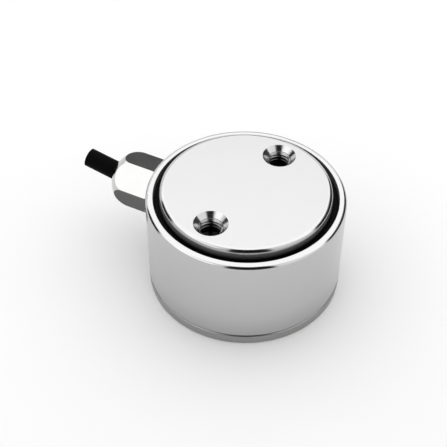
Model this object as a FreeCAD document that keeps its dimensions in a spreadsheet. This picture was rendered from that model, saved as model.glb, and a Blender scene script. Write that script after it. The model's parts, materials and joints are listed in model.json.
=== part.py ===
import FreeCAD, Part
import math
import os
import Sketcher

# A compression load cell for weighing, in millimetres, +Z up.
# The origin is the centre of the underside of the base, on the axis of the round body.
# The two threaded holes of the load platform lie on the X axis.
# The pieces of the cable outlet, the board and the gauges are laid out about the direction in
# which the cable leaves, which is their own X axis, and are turned as one by outlet_azimuth.

doc = FreeCAD.newDocument("weighing_load_cell")
sheet = doc.addObject("Spreadsheet::Sheet", "sizes")

SIZES = {
    # round body
    "body_diameter": 50.0,
    "rim_height": 27.5,
    "sleeve_wall": 1.9,
    "sleeve_clearance": 0.05,
    "rim_edge_radius": 1.0,
    "rim_inner_radius": 0.15,
    "weld_chamfer": 0.3,
    # elastic element
    "flange_height": 2.85,
    "spigot_height": 5.0,
    "base_edge_radius": 0.4,
    "column_diameter": 20.0,
    "flat_depth": 2.0,
    "flat_land": 2.0,
    "root_fillet": 1.5,
    "platform_rise": 2.0,
    "platform_edge_radius": 1.2,
    "platform_head_room": 0.2,
    "groove_width": 1.6,
    # threaded holes, drawn at the outer diameter of their thread
    "hole_spacing": 30.0,
    "thread_diameter": 6.0,
    "countersink_diameter": 8.5,
    "countersink_angle": 90.0,
    "platform_floor": 2.4,
    "base_countersink": 6.6,
    "base_floor": 2.4,
    "drill_point_angle": 118.0,
    # soft ring in the groove
    "seal_depth": 2.0,
    "seal_height": 1.5,
    "seal_dish": 0.3,
    # cable outlet
    "outlet_azimuth": 98.0,
    "outlet_height": 19.05,
    "spot_depth": 0.7,
    "spot_margin": 0.25,
    "spigot_wall": 1.25,
    "spigot_reach": 0.3,
    "weld_clearance": 0.02,
    "shoulder_step": 0.55,
    "shoulder_thickness": 0.75,
    "nipple_wall": 0.95,
    "bush_wall": 1.4,
    "bush_length": 6.2,
    "bush_proud": 0.2,
    "bush_clearance": 0.05,
    "washer_thickness": 0.8,
    "washer_clearance": 0.2,
    "nut_wall": 1.4,
    "nut_length": 12.05,
    "nut_gap": 0.15,
    "nut_end_wall": 3.25,
    "nut_nose_radius": 5.4,
    "nut_mouth_flare": 0.3,
    "nut_mouth_land": 0.2,
    "nut_chamfer": 0.25,
    "nut_turn": 74.8,
    "thread_clearance": 0.05,
    # cable
    "cable_diameter": 5.0,
    "cable_clearance": 0.6,
    "jacket_reach": 0.9,
    "jacket_wall": 0.65,
    "shield_wall": 0.2,
    "layer_clearance": 0.02,
    "insulation_wall": 0.32,
    "bend_lead": 4.8,
    "bend_radius": 20.0,
    "bend_angle": 9.9,
    "cable_tail": 10.65,
    "fan_length": 1.6,
    "fan_spread": 1.6,
    "core_bend_radius": 2.0,
    # strain gauges
    "film_width": 8.0,
    "film_margin": 1.3,
    "film_thickness": 0.1,
    "foil_thickness": 0.05,
    "grid_line": 0.25,
    "grid_pitch": 0.5,
    "grid_length": 2.4,
    "grid_offset": 1.9,
    "grid_rise": 1.0,
    "tab_width": 1.2,
    "tab_height": 1.4,
    "tab_spacing": 2.4,
    "tab_drop": 2.4,
    # bridge board
    "board_thickness": 1.2,
    "board_edge_gap": 1.2,
    "board_column_gap": 2.5,
    "pad_thickness": 0.05,
    "cable_pad_inset": 5.5,
    "cable_pad_spacing": 3.2,
    "cable_pad_length": 2.4,
    "cable_pad_width": 1.8,
    "lead_pad_inset": 1.6,
    "lead_pad_size": 1.3,
    "lead_diameter": 0.3,
    "lead_bend_radius": 0.7,
    "resistor_length": 3.2,
    "resistor_width": 1.6,
    "resistor_height": 0.55,
    "resistor_cap": 0.5,
    "resistor_cap_rise": 0.05,
    # screws of the board
    "screw_inset": 2.8,
    "screw_shank": 1.6,
    "screw_clearance": 0.05,
    "screw_length": 4.6,
    "screw_hole_spare": 0.8,
    "screw_head_diameter": 3.6,
    "screw_head_height": 1.3,
    "screw_slot_width": 0.5,
    "screw_slot_depth": 0.6,
    "screw_board_clearance": 0.3,
}
for row, (name, number) in enumerate(SIZES.items(), 1):
    sheet.set(f"A{row}", name)
    sheet.set(f"B{row}", str(number))
    sheet.setAlias(f"B{row}", name)
doc.recompute()

# Radii and heights that several pieces share, as expressions on the sheet.
BODY_RADIUS = "(sizes.body_diameter / 2)"
SLEEVE_BORE = f"({BODY_RADIUS} - sizes.sleeve_wall)"
SPIGOT_RADIUS = f"({SLEEVE_BORE} - sizes.sleeve_clearance)"
PLATFORM_RADIUS = f"({SLEEVE_BORE} - sizes.groove_width)"
COLUMN_RADIUS = "(sizes.column_diameter / 2)"
FLAT_DISTANCE = f"({COLUMN_RADIUS} - sizes.flat_depth)"
BASE_TOP = "(sizes.flange_height + sizes.spigot_height)"
PLATFORM_TOP = "(sizes.rim_height + sizes.platform_rise)"
PLATFORM_UNDERSIDE = (
    "(sizes.outlet_height + sizes.cable_diameter / 2 + sizes.platform_head_room)")
FLAT_LENGTH = f"({PLATFORM_UNDERSIDE} - {BASE_TOP} - 2 * sizes.flat_land)"
GAUGE_HEIGHT = f"(({BASE_TOP} + {PLATFORM_UNDERSIDE}) / 2)"

# Distances along the cable outlet, from the axis of the body outwards.
SHOULDER_SEAT = f"({BODY_RADIUS} - sizes.spot_depth)"
SHOULDER_FACE = f"({SHOULDER_SEAT} + sizes.shoulder_thickness)"
NUT_START = f"({SHOULDER_FACE} + sizes.nut_gap)"
NUT_END = f"({NUT_START} + sizes.nut_length)"
WASHER_FACE = f"({NUT_END} - sizes.nut_end_wall)"
BUSH_END = f"({WASHER_FACE} - sizes.washer_thickness)"
BUSH_SEAT = f"({BUSH_END} - sizes.bush_length)"
NIPPLE_END = f"({BUSH_END} - sizes.bush_proud)"
JACKET_END = f"({SLEEVE_BORE} - sizes.jacket_reach)"

# Radii about the cable outlet, from the cable outwards.
CABLE_RADIUS = "(sizes.cable_diameter / 2)"
CABLE_HOLE = f"({CABLE_RADIUS} + sizes.cable_clearance)"
BUSH_BORE = f"({CABLE_RADIUS} + sizes.bush_clearance)"
BUSH_RADIUS = f"({BUSH_BORE} + sizes.bush_wall)"
BUSH_POCKET = f"({BUSH_RADIUS} + sizes.bush_clearance)"
NIPPLE_RADIUS = f"({BUSH_POCKET} + sizes.nipple_wall)"
SHOULDER_RADIUS = f"({NIPPLE_RADIUS} + sizes.shoulder_step)"
PORT_SPIGOT = f"({CABLE_HOLE} + sizes.spigot_wall)"
NUT_BORE = f"({NIPPLE_RADIUS} + sizes.thread_clearance)"
NUT_CORNER = f"(({NUT_BORE} + sizes.nut_wall) * 2 / sqrt(3))"

# Layers of the cable, from the sheath inwards: four round cores fill the bore of the shield.
JACKET_BORE = f"({CABLE_RADIUS} - sizes.jacket_wall)"
SHIELD_RADIUS = f"({JACKET_BORE} - sizes.layer_clearance)"
SHIELD_BORE = f"({SHIELD_RADIUS} - sizes.shield_wall)"
CORE_RADIUS = f"(({SHIELD_BORE} - 2 * sizes.layer_clearance) / (1 + sqrt(2)))"
CORE_BORE = f"({CORE_RADIUS} - sizes.insulation_wall)"
CONDUCTOR_RADIUS = f"({CORE_BORE} - sizes.layer_clearance)"
CORE_OFFSET = f"({CORE_RADIUS} + sizes.layer_clearance / 2)"

# The board, a ring on the base.
BOARD_TOP = f"({BASE_TOP} + sizes.board_thickness)"
PAD_TOP = f"({BOARD_TOP} + sizes.pad_thickness)"
BOARD_RADIUS = f"({SLEEVE_BORE} - sizes.board_edge_gap)"
BOARD_BORE = f"({COLUMN_RADIUS} + sizes.board_column_gap)"
CABLE_PAD = f"({BOARD_RADIUS} - sizes.cable_pad_inset)"
LEAD_PAD = f"({BOARD_BORE} + sizes.lead_pad_inset)"
SCREW_CIRCLE = f"({BOARD_RADIUS} - sizes.screw_inset)"
SCREW_COUNT = 3
SCREW_TURN = 180 / SCREW_COUNT
GAUGE_COUNT = 4
OUTLET = "sizes.outlet_azimuth"

UP = FreeCAD.Vector(0, 0, 1)
TOLERANCE = 1e-4


def value(expression):
    """The number that an expression on the sheet gives."""
    return float(sheet.evalExpression(expression))


def new_body(label, turn=None, height=None):
    """An empty body, turned about Z and raised where that is asked for."""
    body = doc.addObject("PartDesign::Body", label)
    body.Label = label
    if turn:
        body.Placement.Rotation = FreeCAD.Rotation(UP, value(turn))
        body.setExpression("Placement.Rotation.Angle", turn)
    if height:
        body.setExpression("Placement.Base.z", height)
    return body


def new_sketch(body, role, name, offset=None, turn=None):
    """A sketch on one of the body's own planes, moved along its normal and turned about it."""
    plane = next(f for f in body.Origin.OriginFeatures if f.Role == role)
    sketch = body.newObject("Sketcher::SketchObject", name)
    sketch.AttachmentSupport = [(plane, "")]
    sketch.MapMode = "FlatFace"
    if turn:
        sketch.AttachmentOffset = FreeCAD.Placement(
            FreeCAD.Vector(), FreeCAD.Rotation(UP, value(turn)))
        sketch.setExpression("AttachmentOffset.Rotation.Angle", turn)
    if offset:
        sketch.setExpression("AttachmentOffset.Base.z", offset)
    return sketch


def bind(sketch, constraint, expression):
    """Adds a constraint and ties its size to the sheet."""
    index = sketch.addConstraint(constraint)
    sketch.setExpression(f"Constraints[{index}]", expression)


def pin_point(sketch, geometry, end, x, y):
    """Ties one end of a line, or a circle's centre, to its two coordinates."""
    for kind, axis, expression in (("DistanceX", -2, x), ("DistanceY", -1, y)):
        if expression == "0":
            sketch.addConstraint(Sketcher.Constraint("PointOnObject", geometry, end, axis))
        else:
            place = value(expression)
            bind(sketch, Sketcher.Constraint(kind, -1, 1, geometry, end, place), expression)


def draw_path(sketch, points, arcs=(), closed=True):
    """Lines through the points. arcs gives the runs that are arcs instead, by the number of the
    point that each starts from: its radius, and the side of the run that its centre is on."""
    arcs = dict(arcs)
    spots = [FreeCAD.Vector(value(x), value(y), 0) for x, y in points]
    runs = len(spots) if closed else len(spots) - 1
    ends = []
    for i in range(runs):
        start, stop = spots[i], spots[(i + 1) % len(spots)]
        if i not in arcs:
            ends.append((sketch.addGeometry(Part.LineSegment(start, stop)), 1, 2))
            continue
        radius = value(arcs[i][0])
        left = arcs[i][1] == "left"
        chord = stop - start
        across = FreeCAD.Vector(-chord.y, chord.x, 0).normalize()
        reach = math.sqrt(max(radius ** 2 - (chord.Length / 2) ** 2, 0))
        centre = (start + stop) / 2 + across * (reach if left else -reach)
        first, last = (start, stop) if left else (stop, start)
        begin = math.atan2(first.y - centre.y, first.x - centre.x)
        finish = math.atan2(last.y - centre.y, last.x - centre.x)
        circle = Part.Circle(centre, UP, radius)
        number = sketch.addGeometry(Part.ArcOfCircle(circle, begin, finish))
        ends.append((number, 1, 2) if left else (number, 2, 1))
        bind(sketch, Sketcher.Constraint("Radius", number, radius), arcs[i][0])
    for i, (number, start, stop) in enumerate(ends):
        pin_point(sketch, number, start, *points[i])
        if closed or i + 1 < runs:
            follower, its_start, _ = ends[(i + 1) % runs]
            sketch.addConstraint(Sketcher.Constraint("Coincident", number, stop, follower, its_start))
        else:
            pin_point(sketch, number, stop, *points[i + 1])


def draw_circle(sketch, x, y, radius):
    """A circle with its centre and radius tied to the sheet."""
    centre = FreeCAD.Vector(value(x), value(y), 0)
    number = sketch.addGeometry(Part.Circle(centre, UP, value(radius)))
    pin_point(sketch, number, 3, x, y)
    bind(sketch, Sketcher.Constraint("Radius", number, value(radius)), radius)


def draw_rectangle(sketch, x, y, width, height):
    """A rectangle about its centre."""
    left, right = f"{x} - {width} / 2", f"{x} + {width} / 2"
    low, high = f"{y} - {height} / 2", f"{y} + {height} / 2"
    draw_path(sketch, [(left, low), (right, low), (right, high), (left, high)])


def add_feature(body, kind, sketch, name, **settings):
    """A feature on a sketch. A setting that starts with an equals sign is an expression."""
    doc.recompute()
    before = body.Shape.Volume if body.Tip and body.Tip.Shape.Solids else 0
    feature = body.newObject(f"PartDesign::{kind}", name)
    feature.Profile = sketch
    for setting, given in settings.items():
        if isinstance(given, str) and given.startswith("="):
            feature.setExpression(setting, given[1:])
        else:
            setattr(feature, setting, given)
    sketch.Visibility = False
    doc.recompute()
    change = body.Shape.Volume - before
    removes = kind in ("Pocket", "Groove", "Hole")
    if (removes and change >= 0) or (not removes and change <= 0):
        raise ValueError(f"{name} of {body.Label} changes nothing")
    return feature


def revolve(body, name, points, axis, arcs=(), kind="Revolution"):
    """A profile on the body's XZ plane turned about the sketch's own axis."""
    sketch = new_sketch(body, "XZ_Plane", f"{name}_profile")
    draw_path(sketch, points, arcs)
    return add_feature(body, kind, sketch, name, ReferenceAxis=(sketch, [axis]))


def dress_edges(body, kind, name, size, spots):
    """Rounds or chamfers the circular edges about Z at the given radii and heights."""
    doc.recompute()
    wanted = [(value(radius), value(height)) for radius, height in spots]
    edges = []
    for i, edge in enumerate(body.Tip.Shape.Edges, 1):
        if not isinstance(edge.Curve, Part.Circle) or not edge.Curve.Axis.cross(UP).isEqual(
                FreeCAD.Vector(), TOLERANCE):
            continue
        for radius, height in wanted:
            centred = edge.Curve.Center.isEqual(FreeCAD.Vector(0, 0, height), TOLERANCE)
            if centred and abs(edge.Curve.Radius - radius) < TOLERANCE:
                edges.append(f"Edge{i}")
    if len(edges) < len(wanted):
        raise ValueError(f"{name} of {body.Label} finds {len(edges)} edges")
    base = body.Tip
    feature = body.newObject(f"PartDesign::{kind}", name)
    feature.Base = (base, edges)
    feature.setExpression("Radius" if kind == "Fillet" else "Size", size)
    doc.recompute()


def pattern(body, kind, name, originals, axis, count, extent):
    """Repeats features about or along one of the body's own axes."""
    feature = body.newObject(f"PartDesign::{kind}", name)
    feature.Originals = originals
    line = next(f for f in body.Origin.OriginFeatures if f.Role == axis)
    if kind == "PolarPattern":
        feature.Axis = (line, [""])
        feature.Angle = extent
    else:
        feature.Direction = (line, [""])
        feature.setExpression("Length", extent)
    feature.Occurrences = count
    body.Tip = feature
    doc.recompute()


def rounded_wire(points, radius):
    """Straight runs through the points, joined by tangent arcs of one radius. A point that is
    given with its own radius keeps that one."""
    spots = [FreeCAD.Vector(*p[:3]) for p in points]
    edges = []
    last = spots[0]
    for i in range(1, len(spots) - 1):
        back = (spots[i - 1] - spots[i]).normalize()
        ahead = (spots[i + 1] - spots[i]).normalize()
        bend = points[i][3] if len(points[i]) > 3 else radius
        half = back.getAngle(ahead) / 2
        start = spots[i] + back * (bend / math.tan(half))
        stop = spots[i] + ahead * (bend / math.tan(half))
        inward = (back + ahead).normalize()
        middle = spots[i] + inward * (bend / math.sin(half) - bend)
        edges.append(Part.LineSegment(last, start).toShape())
        edges.append(Part.Arc(start, middle, stop).toShape())
        last = stop
    edges.append(Part.LineSegment(last, spots[-1]).toShape())
    return Part.Wire(edges)


def round_bar(path, radius):
    """A round solid along a path, compared with its section times its length."""
    start = path.Edges[0]
    first = start.firstVertex().Point
    circle = Part.Circle(first, start.tangentAt(start.FirstParameter), radius)
    disc = Part.Wire(circle.toShape())
    bar = path.makePipeShell([disc], True, True)
    expected = math.pi * radius ** 2 * path.Length
    if abs(bar.Volume - expected) > 0.01 * expected:
        raise ValueError(f"bar of volume {bar.Volume:.3f}, expected {expected:.3f}")
    return bar


def add_shape(label, shape, height=None):
    """A piece whose route is not flat, turned to the cable outlet."""
    piece = doc.addObject("Part::Feature", label)
    piece.Label = label
    piece.Shape = shape
    piece.Placement = FreeCAD.Placement(
        FreeCAD.Vector(0, 0, value(height) if height else 0),
        FreeCAD.Rotation(UP, value(OUTLET)))


# Elastic element: base flange, gauge column and load platform, turned from one bar.
element = new_body("elastic_element")
revolve(element, "spool", [
    ("0", "0"),
    (BODY_RADIUS, "0"),
    (BODY_RADIUS, "sizes.flange_height"),
    (SPIGOT_RADIUS, "sizes.flange_height"),
    (SPIGOT_RADIUS, BASE_TOP),
    (COLUMN_RADIUS, BASE_TOP),
    (COLUMN_RADIUS, PLATFORM_UNDERSIDE),
    (PLATFORM_RADIUS, PLATFORM_UNDERSIDE),
    (PLATFORM_RADIUS, PLATFORM_TOP),
    ("0", PLATFORM_TOP),
], "V_Axis")
dress_edges(element, "Fillet", "column_roots", "sizes.root_fillet", [
    (COLUMN_RADIUS, BASE_TOP), (COLUMN_RADIUS, PLATFORM_UNDERSIDE)])
dress_edges(element, "Fillet", "platform_edge", "sizes.platform_edge_radius", [
    (PLATFORM_RADIUS, PLATFORM_TOP)])
dress_edges(element, "Fillet", "base_edge", "sizes.base_edge_radius", [(BODY_RADIUS, "0")])
dress_edges(element, "Chamfer", "flange_weld_edge", "sizes.weld_chamfer", [
    (BODY_RADIUS, "sizes.flange_height")])

# Four flats milled on the column, where the gauges are bonded.
flats = new_sketch(element, "XY_Plane", "flats_outline", f"{BASE_TOP} + sizes.flat_land", OUTLET)
draw_circle(flats, "0", "0", f"{COLUMN_RADIUS} + sizes.flat_depth")
draw_rectangle(flats, "0", "0", f"2 * {FLAT_DISTANCE}", f"2 * {FLAT_DISTANCE}")
add_feature(element, "Pocket", flats, "flats", Reversed=True, Length=f"={FLAT_LENGTH}")


def threaded_pair(name, offset, mouth, depth, upwards):
    """Two tapped holes on the X axis with countersunk mouths and a drill point."""
    centres = new_sketch(element, "XY_Plane", f"{name}_centres", offset)
    for side in ("", "-"):
        draw_circle(centres, f"{side}sizes.hole_spacing / 2", "0", "sizes.thread_diameter / 2")
    add_feature(
        element, "Hole", centres, name, Reversed=upwards, ThreadType="None",
        Diameter="=sizes.thread_diameter", HoleCutType="Countersink", HoleCutCustomValues=True,
        HoleCutDiameter=f"={mouth}", HoleCutCountersinkAngle="=sizes.countersink_angle",
        DepthType="Dimension", Depth=f"={depth}", DrillPoint="Angled", DrillForDepth=False,
        DrillPointAngle="=sizes.drill_point_angle")


threaded_pair("platform_holes", PLATFORM_TOP, "sizes.countersink_diameter",
              f"{PLATFORM_TOP} - {PLATFORM_UNDERSIDE} - sizes.platform_floor", False)
threaded_pair("base_holes", None, "sizes.base_countersink",
              f"{BASE_TOP} - sizes.base_floor", True)

# Tapped holes of the board's screws.
screw_hole = new_sketch(element, "XY_Plane", "screw_hole_centre", BASE_TOP,
                        f"{OUTLET} + {SCREW_TURN}")
draw_circle(screw_hole, SCREW_CIRCLE, "0", "sizes.screw_shank / 2 + sizes.screw_clearance")
first_hole = add_feature(
    element, "Pocket", screw_hole, "screw_hole",
    Length="=sizes.screw_length - sizes.board_thickness + sizes.screw_hole_spare")
pattern(element, "PolarPattern", "screw_holes", [first_hole], "Z_Axis", SCREW_COUNT, 360)

# Sleeve: a polished tube that slides over the spigot and is welded to the base flange.
sleeve = new_body("housing_sleeve", OUTLET)
revolve(sleeve, "tube", [
    (SLEEVE_BORE, "sizes.flange_height"),
    (BODY_RADIUS, "sizes.flange_height"),
    (BODY_RADIUS, "sizes.rim_height"),
    (SLEEVE_BORE, "sizes.rim_height"),
], "V_Axis")
dress_edges(sleeve, "Fillet", "rim_edge", "sizes.rim_edge_radius", [
    (BODY_RADIUS, "sizes.rim_height")])
dress_edges(sleeve, "Fillet", "rim_inner_edge", "sizes.rim_inner_radius", [
    (SLEEVE_BORE, "sizes.rim_height")])
dress_edges(sleeve, "Chamfer", "sleeve_weld_edge", "sizes.weld_chamfer", [
    (BODY_RADIUS, "sizes.flange_height")])
port = new_sketch(sleeve, "YZ_Plane", "port_outline")
draw_circle(port, "0", "sizes.outlet_height", f"{PORT_SPIGOT} + sizes.weld_clearance")
add_feature(sleeve, "Pocket", port, "port", Reversed=True, Length="=sizes.body_diameter")
spot = new_sketch(sleeve, "YZ_Plane", "spot_outline", SHOULDER_SEAT)
draw_circle(spot, "0", "sizes.outlet_height", f"{SHOULDER_RADIUS} + sizes.spot_margin")
add_feature(sleeve, "Pocket", spot, "spot_face", Reversed=True, Length="=sizes.body_diameter")

# Soft ring poured into the groove, with a hollow top that is drawn up at both walls.
SEAL_TOP = "(sizes.rim_height - sizes.seal_depth)"
SEAL_LOW = f"({SEAL_TOP} - sizes.seal_height)"
DISH_RADIUS = "((sizes.groove_width ^ 2 / 4 + sizes.seal_dish ^ 2) / (2 * sizes.seal_dish))"
seal = new_body("gap_seal")
revolve(seal, "ring", [
    (PLATFORM_RADIUS, SEAL_LOW),
    (SLEEVE_BORE, SEAL_LOW),
    (SLEEVE_BORE, SEAL_TOP),
    (PLATFORM_RADIUS, SEAL_TOP),
], "V_Axis", arcs={2: (DISH_RADIUS, "right")})

# Nipple: its spigot is welded into the sleeve's port, and its pocket holds the rubber bush.
nipple = new_body("cable_nipple", OUTLET, "sizes.outlet_height")
revolve(nipple, "turned", [
    (f"{SLEEVE_BORE} - sizes.spigot_reach", CABLE_HOLE),
    (BUSH_SEAT, CABLE_HOLE),
    (BUSH_SEAT, BUSH_POCKET),
    (NIPPLE_END, BUSH_POCKET),
    (NIPPLE_END, NIPPLE_RADIUS),
    (SHOULDER_FACE, NIPPLE_RADIUS),
    (SHOULDER_FACE, SHOULDER_RADIUS),
    (SHOULDER_SEAT, SHOULDER_RADIUS),
    (SHOULDER_SEAT, PORT_SPIGOT),
    (f"{SLEEVE_BORE} - sizes.spigot_reach", PORT_SPIGOT),
], "H_Axis")

# Rubber bush, squeezed between its seat and the washer.
bush = new_body("gland_bush", OUTLET, "sizes.outlet_height")
revolve(bush, "moulded", [
    (BUSH_SEAT, BUSH_BORE), (BUSH_END, BUSH_BORE),
    (BUSH_END, BUSH_RADIUS), (BUSH_SEAT, BUSH_RADIUS),
], "H_Axis")

# Thrust washer, which keeps the turning nut off the rubber.
washer = new_body("gland_washer", OUTLET, "sizes.outlet_height")
WASHER_RADIUS = f"({NUT_BORE} - sizes.washer_clearance)"
revolve(washer, "stamped", [
    (BUSH_END, CABLE_HOLE), (WASHER_FACE, CABLE_HOLE),
    (WASHER_FACE, WASHER_RADIUS), (BUSH_END, WASHER_RADIUS),
], "H_Axis")

# Gland nut: hexagon bar with a rounded nose and a flared mouth for the cable.
nut = new_body("gland_nut", OUTLET, "sizes.outlet_height")
hexagon = new_sketch(nut, "YZ_Plane", "hexagon", NUT_START)
corners = [f"((sizes.nut_turn + {60 * k}) * 1 deg)" for k in range(6)]
draw_path(hexagon, [(f"{NUT_CORNER} * cos({a})", f"{NUT_CORNER} * sin({a})") for a in corners])
add_feature(nut, "Pad", hexagon, "bar", Length="=sizes.nut_length")
revolve(nut, "bore", [
    (NUT_START, "0"),
    (NUT_END, "0"),
    (NUT_END, f"{CABLE_HOLE} + sizes.nut_mouth_flare"),
    (f"{NUT_END} - sizes.nut_mouth_flare", CABLE_HOLE),
    (WASHER_FACE, CABLE_HOLE),
    (WASHER_FACE, NUT_BORE),
    (NUT_START, NUT_BORE),
], "H_Axis", arcs={2: ("sizes.nut_mouth_flare", "right")}, kind="Groove")
MOUTH_RIM = f"({CABLE_HOLE} + sizes.nut_mouth_flare + sizes.nut_mouth_land)"
NOSE_DROP = f"({NUT_CORNER} - {MOUTH_RIM})"
NOSE_LENGTH = f"(sqrt(2 * sizes.nut_nose_radius * {NOSE_DROP} - {NOSE_DROP} ^ 2))"
revolve(nut, "nose", [
    (f"{NUT_END} - {NOSE_LENGTH}", NUT_CORNER),
    (NUT_END, MOUTH_RIM),
    (f"{NUT_END} + sizes.nut_chamfer", MOUTH_RIM),
    (f"{NUT_END} + sizes.nut_chamfer", f"{NUT_CORNER} + sizes.nut_chamfer"),
    (f"{NUT_END} - {NOSE_LENGTH}", f"{NUT_CORNER} + sizes.nut_chamfer"),
], "H_Axis", arcs={0: ("sizes.nut_nose_radius", "right")}, kind="Groove")
revolve(nut, "back_chamfer", [
    (NUT_START, f"{NUT_CORNER} - sizes.nut_chamfer"),
    (f"{NUT_START} + sizes.nut_chamfer", f"{NUT_CORNER} + sizes.nut_chamfer"),
    (f"{NUT_START} - sizes.nut_chamfer", f"{NUT_CORNER} + sizes.nut_chamfer"),
    (f"{NUT_START} - sizes.nut_chamfer", f"{NUT_CORNER} - sizes.nut_chamfer"),
], "H_Axis", kind="Groove")

# Cable stub: straight through the bush, a slight upward bend in the nut, a square cut end.
BEND = "(sizes.bend_angle * 1 deg)"
BEND_START = f"({NUT_END} - sizes.bend_lead)"
BEND_END = (f"{BEND_START} + sizes.bend_radius * sin({BEND})",
            f"sizes.bend_radius * (1 - cos({BEND}))")
CABLE_END = (f"{BEND_END[0]} + sizes.cable_tail * cos({BEND})",
             f"{BEND_END[1]} + sizes.cable_tail * sin({BEND})")


def cable_layer(label, outer, inner):
    """A tube along the cable."""
    body = new_body(label, OUTLET, "sizes.outlet_height")
    route = new_sketch(body, "XZ_Plane", f"{label}_route")
    draw_path(route, [(JACKET_END, "0"), (BEND_START, "0"), BEND_END, CABLE_END],
              arcs={1: ("sizes.bend_radius", "left")}, closed=False)
    section = new_sketch(body, "YZ_Plane", f"{label}_section", JACKET_END)
    draw_circle(section, "0", "0", outer)
    draw_circle(section, "0", "0", inner)
    route.Visibility = False
    doc.recompute()
    add_feature(body, "AdditivePipe", section, f"{label}_tube", Spine=(route, []))


cable_layer("cable_jacket", CABLE_RADIUS, JACKET_BORE)
cable_layer("cable_shield", SHIELD_RADIUS, SHIELD_BORE)


def core_route(across, above, pad):
    """The middle line of one core, from its pad on the board to the cut end of the cable.
    across and above give its place in the cable, and pad its place in the row of pads."""
    bend = math.radians(value("sizes.bend_angle"))
    radius = value("sizes.bend_radius") - above
    start = value(BEND_START)
    pad_x = value(CABLE_PAD)
    pad_y = pad * value("sizes.cable_pad_spacing")
    board = value(PAD_TOP) - value("sizes.outlet_height")
    fan_x = value(JACKET_END) - value("sizes.fan_length")
    if above > 0:
        fan_x -= value("sizes.fan_spread")
    corner_x = start + radius * math.tan(bend / 2)
    run = radius * math.tan(bend / 2) + value("sizes.cable_tail")
    return [
        (pad_x, pad_y, board),
        (pad_x, pad_y, board / 2),
        (fan_x, across, above),
        (corner_x, across, above, radius),
        (corner_x + run * math.cos(bend), across, above + run * math.sin(bend)),
    ]


CORES = {
    "red": (1, 1, 1.5),
    "black": (1, -1, 0.5),
    "green": (-1, -1, -0.5),
    "white": (-1, 1, -1.5),
}
conductors = []
for colour, (side, level, pad) in CORES.items():
    offset = value(CORE_OFFSET)
    path = rounded_wire(core_route(side * offset, level * offset, pad),
                        value("sizes.core_bend_radius"))
    conductor_bar = round_bar(path, value(CONDUCTOR_RADIUS))
    bore = round_bar(path, value(CORE_BORE))
    add_shape(f"core_{colour}", round_bar(path, value(CORE_RADIUS)).cut(bore), "sizes.outlet_height")
    conductors.append(conductor_bar)
add_shape("core_conductors", Part.makeCompound(conductors), "sizes.outlet_height")

# Board: a ring with pads for the cable's cores and for the gauges' leads.
board = new_body("bridge_board", OUTLET)
ring = new_sketch(board, "XY_Plane", "board_outline", BASE_TOP)
draw_circle(ring, "0", "0", BOARD_RADIUS)
draw_circle(ring, "0", "0", BOARD_BORE)
add_feature(board, "Pad", ring, "laminate", Length="=sizes.board_thickness")
cable_pads = new_sketch(board, "XY_Plane", "cable_pad_outlines", BOARD_TOP)
for _, _, pad in CORES.values():
    draw_rectangle(cable_pads, CABLE_PAD, f"{pad} * sizes.cable_pad_spacing",
                   "sizes.cable_pad_length", "sizes.cable_pad_width")
add_feature(board, "Pad", cable_pads, "cable_pads", Length="=sizes.pad_thickness")
lead_pads = new_sketch(board, "XY_Plane", "lead_pad_outlines", BOARD_TOP)
LEADS = (-1, 0, 1)
for place in LEADS:
    draw_rectangle(lead_pads, LEAD_PAD, f"{place} * sizes.tab_spacing",
                   "sizes.lead_pad_size", "sizes.lead_pad_size")
first_pads = add_feature(board, "Pad", lead_pads, "lead_pads", Length="=sizes.pad_thickness")
pattern(board, "PolarPattern", "lead_pad_sets", [first_pads], "Z_Axis", GAUGE_COUNT, 360)
screw_gap = new_sketch(board, "XY_Plane", "screw_gap_outline", BOARD_TOP, f"{SCREW_TURN}")
draw_circle(screw_gap, SCREW_CIRCLE, "0", "sizes.screw_shank / 2 + sizes.screw_board_clearance")
first_gap = add_feature(board, "Pocket", screw_gap, "screw_gap", Length="=sizes.board_thickness")
pattern(board, "PolarPattern", "screw_gaps", [first_gap], "Z_Axis", SCREW_COUNT, 360)

# Board screws: slotted heads, shanks in the tapped holes of the base.
screws = new_body("board_screws", f"{OUTLET} + {SCREW_TURN}")
screws.AllowCompound = True
half = new_sketch(screws, "XZ_Plane", "screw_half")
HEAD_TOP = f"({BOARD_TOP} + sizes.screw_head_height)"
TIP = f"({BOARD_TOP} - sizes.screw_length)"
draw_path(half, [
    (SCREW_CIRCLE, TIP),
    (f"{SCREW_CIRCLE} + sizes.screw_shank / 2", TIP),
    (f"{SCREW_CIRCLE} + sizes.screw_shank / 2", BOARD_TOP),
    (f"{SCREW_CIRCLE} + sizes.screw_head_diameter / 2", BOARD_TOP),
    (f"{SCREW_CIRCLE} + sizes.screw_head_diameter / 2", HEAD_TOP),
    (SCREW_CIRCLE, HEAD_TOP),
])
turned = add_feature(screws, "Revolution", half, "screw", ReferenceAxis=(half, ["Edge6"]))
slot = new_sketch(screws, "XY_Plane", "slot_outline", HEAD_TOP)
draw_rectangle(slot, SCREW_CIRCLE, "0", "2 * sizes.screw_head_diameter", "sizes.screw_slot_width")
cut = add_feature(screws, "Pocket", slot, "slot", Length="=sizes.screw_slot_depth")
pattern(screws, "PolarPattern", "screw_set", [turned, cut], "Z_Axis", SCREW_COUNT, 360)

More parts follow.
